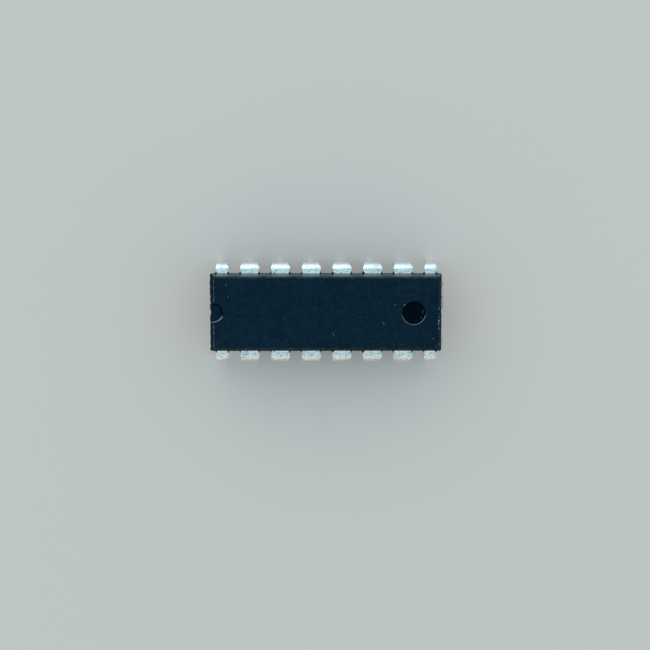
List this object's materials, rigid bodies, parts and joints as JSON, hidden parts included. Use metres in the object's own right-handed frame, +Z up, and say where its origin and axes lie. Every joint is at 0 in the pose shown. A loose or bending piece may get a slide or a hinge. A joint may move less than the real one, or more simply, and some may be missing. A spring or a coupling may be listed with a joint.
{
  "type": "dip integrated circuit chip",
  "caption": "Dual in-line integrated circuit package with a dark moulded body, a notched end and two rows of formed, tinned leads for a through-hole board or socket.",
  "frame": {"origin": "centre of the footprint, on the plane of the lead tips", "axes": "+X along the package away from the notch, so that the first lead is at -X -Y; +Y across it; +Z up from the lead tips to the top face"},
  "size_m": [0.019, 0.0082, 0.007],
  "materials": {
    "moulding_compound": "dark blue-black epoxy moulding compound, fine satin grain, with a few pale scuffs",
    "tinned_lead": "bright tin plate with small grey specks and scratches",
    "lead_frame_copper": "bare copper alloy strip",
    "silicon": "polished silicon",
    "gold_wire": "drawn gold wire"
  },
  "bodies": {
    "root": {"moulded_body": "moulding_compound", "die_pad": "lead_frame_copper", "silicon_die": "silicon", "lead_1": "tinned_lead", "lead_2": "tinned_lead", "lead_3": "tinned_lead", "lead_4": "tinned_lead", "lead_5": "tinned_lead", "lead_6": "tinned_lead", "lead_7": "tinned_lead", "lead_8": "tinned_lead", "lead_9": "tinned_lead", "lead_10": "tinned_lead", "lead_11": "tinned_lead", "lead_12": "tinned_lead", "lead_13": "tinned_lead", "lead_14": "tinned_lead", "lead_15": "tinned_lead", "lead_16": "tinned_lead", "bond_wire_1": "gold_wire", "bond_wire_2": "gold_wire", "bond_wire_3": "gold_wire", "bond_wire_4": "gold_wire", "bond_wire_5": "gold_wire", "bond_wire_6": "gold_wire", "bond_wire_7": "gold_wire", "bond_wire_8": "gold_wire", "bond_wire_9": "gold_wire", "bond_wire_10": "gold_wire", "bond_wire_11": "gold_wire", "bond_wire_12": "gold_wire", "bond_wire_13": "gold_wire", "bond_wire_14": "gold_wire", "bond_wire_15": "gold_wire", "bond_wire_16": "gold_wire"}
  },
  "joints": []
}
